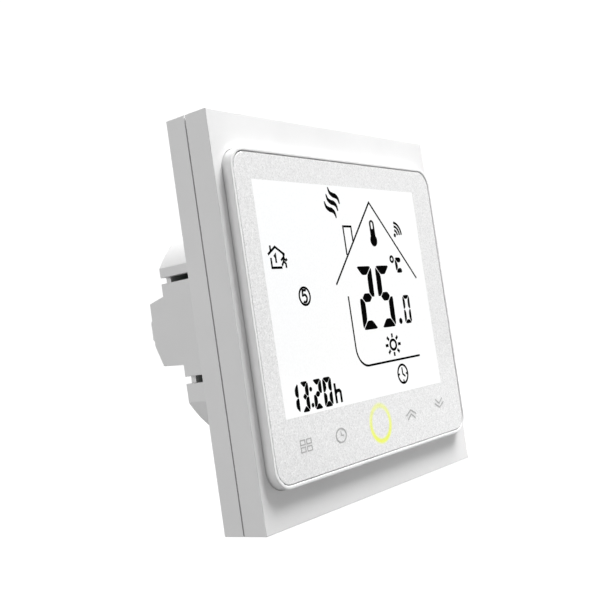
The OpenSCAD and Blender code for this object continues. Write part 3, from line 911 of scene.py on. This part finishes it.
def display_print():
    """The lit field and the dark shapes of the display."""
    depth = (GLASS_FRONT - INK / 2, GLASS_FRONT + INK)
    field = block("lit_field", WINDOW[0], depth, WINDOW[1])
    done(round_corners(field, 0.3, 4), "display_unit", LIT_FIELD, "lcd_glass")

    waves = []
    for x, z in ((0, 0), (-1.05, -1.7), (-2.1, -3.4)):
        path = [(-7.5, 28.1), (-7.0, 26.9), (-5.9, 26.3), (-4.9, 26.1), (-4.0, 25.5),
                (-3.6, 24.3)]
        path = eased([(px + x, pz + z) for px, pz in path])
        waves.append(flat("wave", ribbon(path, 0.3, 0.85)))
    printed("sign_heating", BLACK_INK, "lcd_glass", *waves)

    house = lines(
        "line", 0.5,
        [(-9.6, 5.6), (9.0, 25.1), (26.3, 6.1)],
        [(-3.6, 12.3), (-3.6, 19.05), (-0.3, 19.05), (-0.3, 15.6)],
        [(-5.6, 2.8), (-5.6, -9.3), *circle((-1.2, -9.2), 4.4, 188, 270, 12)[:-1],
         (-1.2, -13.6), (22.2, -13.4)],
    )
    printed("sign_house", BLACK_INK, "lcd_glass", *house)

    tube = [*circle((8.8, 19.75), 1.05, 0, 180, 16), *circle((8.8, 15.8), 1.5, 135, 405, 24)]
    slot_hole = [*circle((8.8, 19.9), 0.4, 0, 180, 8), (8.4, 18.6), (9.2, 18.6)]
    printed("sign_thermometer", BLACK_INK, "lcd_glass", flat("tube", tube, slot_hole))

    source = (18.9, 17.1)
    signal = [flat("dot", circle(source, 0.5))]
    signal += lines("arc", 0.62, *[circle(source, r, 3, 88, 14) for r in (1.25, 2.25, 3.2)])
    printed("sign_wireless", BLACK_INK, "lcd_glass", *signal)

    degree = [hoop("ring", (15.7, 11.1), 1.0, 0.4)]
    degree += [flat("letter", rounded(shape, 0.2)) for shape in (
        [(16.95, 11.5), (19.85, 11.5), (19.6, 10.25), (18.1, 10.25)],
        [(16.9, 11.2), (18.1, 10.1), (18.1, 8.9), (17.1, 7.95)],
        [(17.1, 7.65), (18.2, 8.85), (19.6, 8.85), (19.95, 7.65)])]
    printed("sign_degree", BLACK_INK, "lcd_glass", *degree)

    shapes = digit("d", "2", (-1.3, 5.2), (-5.4, 9.6), 2.1, 0.15)
    shapes += digit("d", "5", (6.9, 13.3), (-5.4, 9.6), 2.1, 0.15)
    shapes += [flat("point", circle((15.65, -4.3), 0.75))]
    shapes += digit("d", "0", (17.7, 21.0), (-5.1, 2.0), 1.0, 0.1, soft=0.2)
    printed("reading_temperature", BLACK_INK, "lcd_glass", *shapes)

    sun = [hoop("ring", (10.5, -9.75), 1.5, 0.85, 1.15)]
    for i in range(8):
        t = math.radians(45 * i)
        ray = [(10.5 + k * 1.25 * math.cos(t), -9.75 + k * math.sin(t)) for k in (1.75, 2.75)]
        sun += lines("ray", 0.72, ray)
    printed("sign_day", BLACK_INK, "lcd_glass", *sun)

    clock = [hoop("ring", (12.9, -17.1), 2.5, 1.95)]
    clock += lines("hand", 0.5, [(12.8, -15.5), (12.8, -17.1), (13.9, -17.8)],
                   [(10.9, -17.1), (11.5, -17.1)], [(14.3, -17.1), (14.9, -17.1)],
                   [(12.9, -18.5), (12.9, -19.1)])
    printed("sign_timer", BLACK_INK, "lcd_glass", *clock)

    home = lines("line", 0.52, [(-32.5, 12.7), (-29.9, 14.3), (-27.3, 12.8)],
                 [(-31.5, 13.2), (-31.5, 14.6)],
                 [(-31.7, 12.0), (-31.7, 9.9), (-28.3, 9.9)],
                 [(-30.6, 12.2), (-30.1, 12.6), (-30.1, 10.9)])
    home += [flat("head", circle((-27.3, 12.7), 0.42, steps=16))]
    home += lines("limb", 0.5, [(-27.3, 12.3), (-27.6, 11.2), (-28.3, 10.3)],
                  [(-27.6, 11.2), (-26.9, 10.7), (-26.9, 9.8)],
                  [(-28.4, 11.4), (-27.6, 12.0), (-26.8, 11.4), (-26.3, 11.7)])
    printed("sign_away", BLACK_INK, "lcd_glass", *home)

    day = [hoop("ring", (-22.05, 3.55), 2.15, 1.65)]
    day += lines("five", 0.55, [(-21.35, 4.85), (-22.6, 4.85), (-22.75, 3.75),
                                *circle((-22.15, 3.05), 0.82, 125, -130, 14)])
    printed("reading_day", BLACK_INK, "lcd_glass", *day)

    time = []
    for character, x in (
        ("1", (-31.7, -29.2)),
        ("3", (-28.5, -25.7)),
        ("2", (-24.1, -21.0)),
        ("0", (-20.5, -17.3)),
    ):
        time += digit("d", character, x, (-20.7, -14.3), 1.2, 0.06, soft=0.18)
    time += [flat("dot", circle((-24.75, z), 0.5, steps=16)) for z in (-16.2, -19.6)]
    time += lines("letter", 0.75, [(-16.0, -16.0), (-16.0, -20.4)],
                  [(-16.0, -18.3), (-15.4, -17.7), (-14.5, -17.7), (-14.1, -18.1),
                   (-14.1, -20.4)])
    printed("reading_time", BLACK_INK, "lcd_glass", *time)


def key_print():
    """The thin grey signs of the touch keys."""
    z = KEY_ROW - 0.2
    grid = []
    for x in (-30.1, -27.9):
        for level in (z + 0.75, z - 0.75):
            around, inside = (
                [(x - half, level - rise), (x + half, level - rise),
                 (x + half, level + rise), (x - half, level + rise)]
                for half, rise in ((0.9, 0.6), (0.67, 0.37))
            )
            grid.append(flat("square", around, inside))
    printed("key_menu", GREY_INK, "touch_glass", *grid)

    clock = [hoop("ring", (-16.2, z), 1.65, 1.34, 1.25)]
    clock += lines("hand", 0.26, [(-16.2, z + 0.95), (-16.2, z), (-15.2, z - 0.1)])
    printed("key_clock", GREY_INK, "touch_glass", *clock)

    for name, x, z, way in (("key_up", 13.95, -26.9, 1), ("key_down", 28.2, -26.6, -1)):
        chevrons = []
        for wide, lift in ((2.3, 0.15), (1.75, -0.85)):
            chevrons.append([(x - wide, z + way * (lift - 0.55)), (x, z + way * (lift + 0.65)),
                             (x + wide, z + way * (lift - 0.55))])
        printed(name, GREY_INK, "touch_glass", *lines("line", 0.36, *chevrons))


def touch_panel():
    """The printed glass with its ground edge, and all that shows on it."""
    glass = soften(traced("printed_touch_glass", "touch_glass"), 0.18, 3)
    done(glass, "display_unit", FINISHES["touch_glass"], "touch_glass", "touch_glass")
    display_print()
    key_print()


touch_panel()
